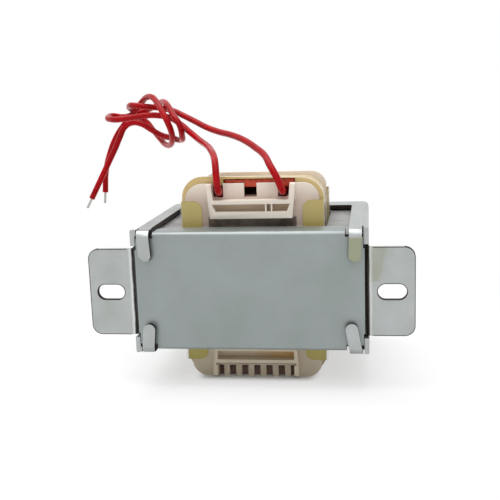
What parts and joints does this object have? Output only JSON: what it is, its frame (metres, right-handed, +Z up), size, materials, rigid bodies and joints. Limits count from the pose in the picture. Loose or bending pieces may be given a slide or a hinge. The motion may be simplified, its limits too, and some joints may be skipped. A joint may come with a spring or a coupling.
{
  "type": "laminated chassis transformer",
  "caption": "Laminated chassis transformer: stacked core in a folded steel frame with slotted mounting ears, taped coil on a moulded bobbin, and thin insulated flying leads.",
  "frame": {"origin": "midway between the centres of the two mounting slots, on the front face of the ears", "axes": "+X along the ears from slot to slot, +Y back through the frame, away from the panel side, +Z up through the lamination stack"},
  "size_m": [0.1157, 0.0769, 0.0868],
  "materials": {
    "frame_steel": "bare cold-rolled steel, satin, with light scuffs",
    "plate_steel": "bare cold-rolled steel, blue-grey satin, with light stains",
    "core_steel": "varnished silicon steel sheets, satin",
    "bobbin_nylon": "moulded natural nylon, satin",
    "winding_wire": "enamelled copper wire under varnish",
    "polyester_tape": "yellow polyester film tape, glossy, slightly wrinkled",
    "window_film": "amber polyester film, translucent",
    "splice_sleeve": "dark red sleeving",
    "lead_pvc": "red plastic insulation, semi-gloss",
    "tinned_copper": "tinned copper strands, satin"
  },
  "bodies": {
    "root": {"frame": "frame_steel", "cover_plate": "plate_steel", "e_laminations_front": "core_steel", "e_laminations_back": "core_steel", "i_laminations_front": "core_steel", "i_laminations_back": "core_steel", "bobbin": "bobbin_nylon", "primary_winding": "winding_wire", "interwinding_tape": "polyester_tape", "secondary_winding": "winding_wire", "outer_tape": "polyester_tape", "window_film_left": "window_film", "window_film_right": "window_film", "splice_sleeve_left": "splice_sleeve", "splice_sleeve_right": "splice_sleeve", "lead_left": "lead_pvc", "lead_right": "lead_pvc", "lead_left_tip": "tinned_copper", "lead_right_tip": "tinned_copper"}
  },
  "joints": []
}
